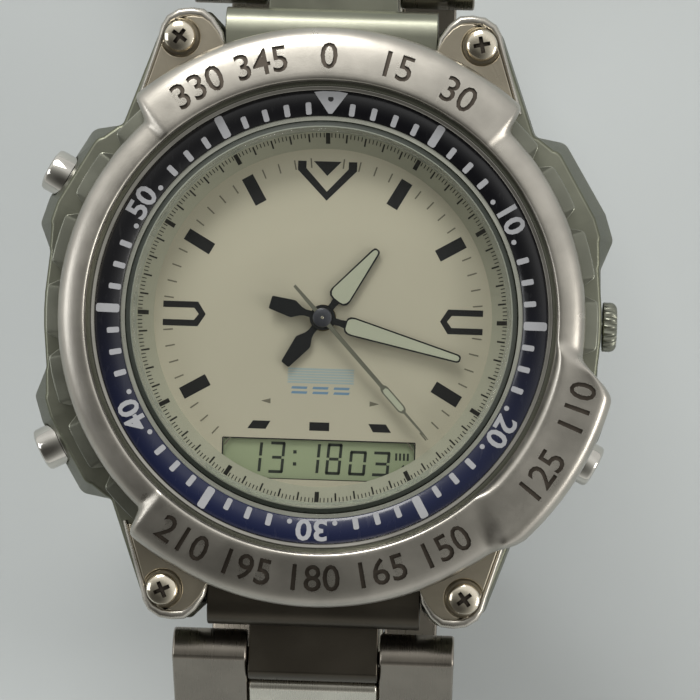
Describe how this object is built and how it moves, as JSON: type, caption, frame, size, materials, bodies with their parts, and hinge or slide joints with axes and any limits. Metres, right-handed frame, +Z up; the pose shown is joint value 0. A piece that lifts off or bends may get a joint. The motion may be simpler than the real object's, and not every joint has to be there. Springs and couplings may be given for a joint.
{
  "type": "ana digi watch",
  "caption": "Steel diver's watch with hands over a display window, turning bezel under a guard ring, pushers, crown and a link bracelet on a folding clasp",
  "frame": {"origin": "on the floor under the middle of the dial, on the underside of the clasp cover", "axes": "+Z up out of the dial, +Y to 12 o'clock, +X to 3 o'clock"},
  "size_m": [0.0489, 0.0762, 0.0493],
  "materials": {
    "satin_steel": "brushed and bead-blasted stainless steel, warm grey",
    "polished_steel": "polished stainless steel",
    "spring_steel": "bright spring steel",
    "crystal_glass": "clear mineral glass with polished bevel",
    "chapter_cream": "matt cream with black minute scale",
    "dial_cream": "matt cream khaki paint with black printing",
    "display": "grey green liquid crystal display",
    "movement_plastic": "black moulded plastic",
    "insert_navy": "anodised black to navy with silver marks",
    "hand_black": "black painted outline with pale luminous fill",
    "hand_grey": "grey olive paint",
    "brass_gear": "plain brass"
  },
  "bodies": {
    "case": {"case": "satin_steel", "case_back": "satin_steel", "guard_ring": "satin_steel", "guard_screws": "polished_steel", "crystal": "crystal_glass", "chapter_ring": "chapter_cream", "dial": "dial_cream", "lcd_panel": "display", "movement": "movement_plastic", "battery": "polished_steel", "end_link_12": "satin_steel", "end_link_6": "satin_steel", "lug_spring_bars": "spring_steel"},
    "bezel": {"rotating_bezel": "polished_steel", "bezel_insert": "insert_navy"},
    "setting_slide": {"setting_lever": "spring_steel"},
    "crown": {"crown": "satin_steel"},
    "pusher_4": {"pusher_4": "satin_steel"},
    "pusher_8": {"pusher_8": "satin_steel"},
    "pusher_10": {"pusher_10": "satin_steel"},
    "minute_hand": {"minute_hand": "hand_black", "cannon_pinion": "brass_gear"},
    "hour_hand": {"hour_hand": "hand_black", "hour_wheel": "brass_gear"},
    "minute_wheel": {"minute_wheel": "brass_gear"},
    "second_hand": {"second_hand": "hand_grey"},
    "row_12_1": {"link_12_1": "satin_steel"},
    "row_12_2": {"link_12_2": "satin_steel"},
    "row_12_3": {"link_12_3": "satin_steel"},
    "row_12_4": {"link_12_4": "satin_steel"},
    "row_12_5": {"link_12_5": "satin_steel"},
    "row_6_1": {"link_6_1": "satin_steel"},
    "row_6_2": {"link_6_2": "satin_steel"},
    "row_6_3": {"link_6_3": "satin_steel"},
    "row_6_4": {"link_6_4": "satin_steel"},
    "row_6_5": {"link_6_5": "satin_steel", "clasp_bar_6": "spring_steel"},
    "clasp_cover": {"clasp_cover": "satin_steel", "cover_hinge_pin": "spring_steel", "clasp_bar_12": "spring_steel"},
    "outer_blade": {"clasp_outer_blade": "polished_steel", "fold_pin": "spring_steel"},
    "inner_blade": {"clasp_inner_blade": "polished_steel"}
  },
  "joints": [
    {"name": "bezel_turn", "type": "hinge", "parent": "case", "child": "bezel", "pos_m": [0, 0, 0.04567], "axis": [0, 0, 1], "continuous": true},
    {"name": "crown_pull", "type": "slide", "parent": "case", "child": "setting_slide", "axis": [1, 0, 0], "range_m": [0, 0.0015]},
    {"name": "crown_turn", "type": "hinge", "parent": "setting_slide", "child": "crown", "pos_m": [0.024, 0, 0.04157], "axis": [1, 0, 0], "continuous": true},
    {"name": "pusher_10_press", "type": "slide", "parent": "case", "child": "pusher_10", "axis": [0.891, -0.454, 0], "range_m": [0, 0.0008], "stiffness_N_per_m": 2500, "springref_m": -0.0004},
    {"name": "pusher_8_press", "type": "slide", "parent": "case", "child": "pusher_8", "axis": [0.891, 0.454, 0], "range_m": [0, 0.0008], "stiffness_N_per_m": 2500, "springref_m": -0.0004},
    {"name": "pusher_4_press", "type": "slide", "parent": "case", "child": "pusher_4", "axis": [-0.891, 0.454, 0], "range_m": [0, 0.0008], "stiffness_N_per_m": 2500, "springref_m": -0.0004},
    {"name": "minute_hand_turn", "type": "hinge", "parent": "case", "child": "minute_hand", "pos_m": [0, 0, 0.04467], "axis": [0, 0, 1], "continuous": true},
    {"name": "hour_hand_turn", "type": "hinge", "parent": "case", "child": "hour_hand", "pos_m": [0, 0, 0.04417], "axis": [0, 0, 1], "continuous": true},
    {"name": "minute_wheel_turn", "type": "hinge", "parent": "case", "child": "minute_wheel", "pos_m": [0.00288, 0, 0.04267], "axis": [0, 0, 1], "continuous": true},
    {"name": "second_hand_turn", "type": "hinge", "parent": "case", "child": "second_hand", "pos_m": [0, 0, 0.04517], "axis": [0, 0, 1], "continuous": true},
    {"name": "row_12_1_bend", "type": "hinge", "parent": "case", "child": "row_12_1", "pos_m": [0, 0.0283, 0.03907], "axis": [1, 0, 0], "range_deg": [0, 45]},
    {"name": "row_12_2_bend", "type": "hinge", "parent": "row_12_1", "child": "row_12_2", "pos_m": [0, 0.03409, 0.03217], "axis": [1, 0, 0], "range_deg": [0, 30]},
    {"name": "row_12_3_bend", "type": "hinge", "parent": "row_12_2", "child": "row_12_3", "pos_m": [0, 0.03626, 0.02344], "axis": [1, 0, 0], "range_deg": [0, 30]},
    {"name": "row_12_4_bend", "type": "hinge", "parent": "row_12_3", "child": "row_12_4", "pos_m": [0, 0.03439, 0.01464], "axis": [1, 0, 0], "range_deg": [0, 30]},
    {"name": "row_12_5_bend", "type": "hinge", "parent": "row_12_4", "child": "row_12_5", "pos_m": [0, 0.02885, 0.00755], "axis": [1, 0, 0], "range_deg": [0, 30]},
    {"name": "row_6_1_bend", "type": "hinge", "parent": "case", "child": "row_6_1", "pos_m": [0, -0.0283, 0.03907], "axis": [-1, 0, 0], "range_deg": [0, 45]},
    {"name": "row_6_2_bend", "type": "hinge", "parent": "row_6_1", "child": "row_6_2", "pos_m": [0, -0.03409, 0.03217], "axis": [-1, 0, 0], "range_deg": [0, 30]},
    {"name": "row_6_3_bend", "type": "hinge", "parent": "row_6_2", "child": "row_6_3", "pos_m": [0, -0.03626, 0.02344], "axis": [-1, 0, 0], "range_deg": [0, 30]},
    {"name": "row_6_4_bend", "type": "hinge", "parent": "row_6_3", "child": "row_6_4", "pos_m": [0, -0.03439, 0.01464], "axis": [-1, 0, 0], "range_deg": [0, 30]},
    {"name": "row_6_5_bend", "type": "hinge", "parent": "row_6_4", "child": "row_6_5", "pos_m": [0, -0.02885, 0.00755], "axis": [-1, 0, 0], "range_deg": [0, 30]},
    {"name": "clasp_open", "type": "hinge", "parent": "row_12_5", "child": "clasp_cover", "pos_m": [0, 0.02076, 0.0036], "axis": [1, 0, 0], "range_deg": [0, 120]},
    {"name": "outer_blade_unfold", "type": "hinge", "parent": "clasp_cover", "child": "outer_blade", "pos_m": [0, -0.01576, 0.0021], "axis": [1, 0, 0], "range_deg": [0, 108.01]},
    {"name": "inner_blade_unfold", "type": "hinge", "parent": "outer_blade", "child": "inner_blade", "pos_m": [0, 0.01476, 0.00267], "axis": [1, 0, 0], "range_deg": [-108.01, 0]}
  ],
  "couplings": [
    {"joint": "hour_hand_turn", "follows": "minute_hand_turn", "ratio": 0.083333},
    {"joint": "minute_wheel_turn", "follows": "minute_hand_turn", "ratio": -0.33333},
    {"joint": "outer_blade_unfold", "follows": "clasp_open", "ratio": 0.9},
    {"joint": "inner_blade_unfold", "follows": "clasp_open", "ratio": -0.9}
  ]
}
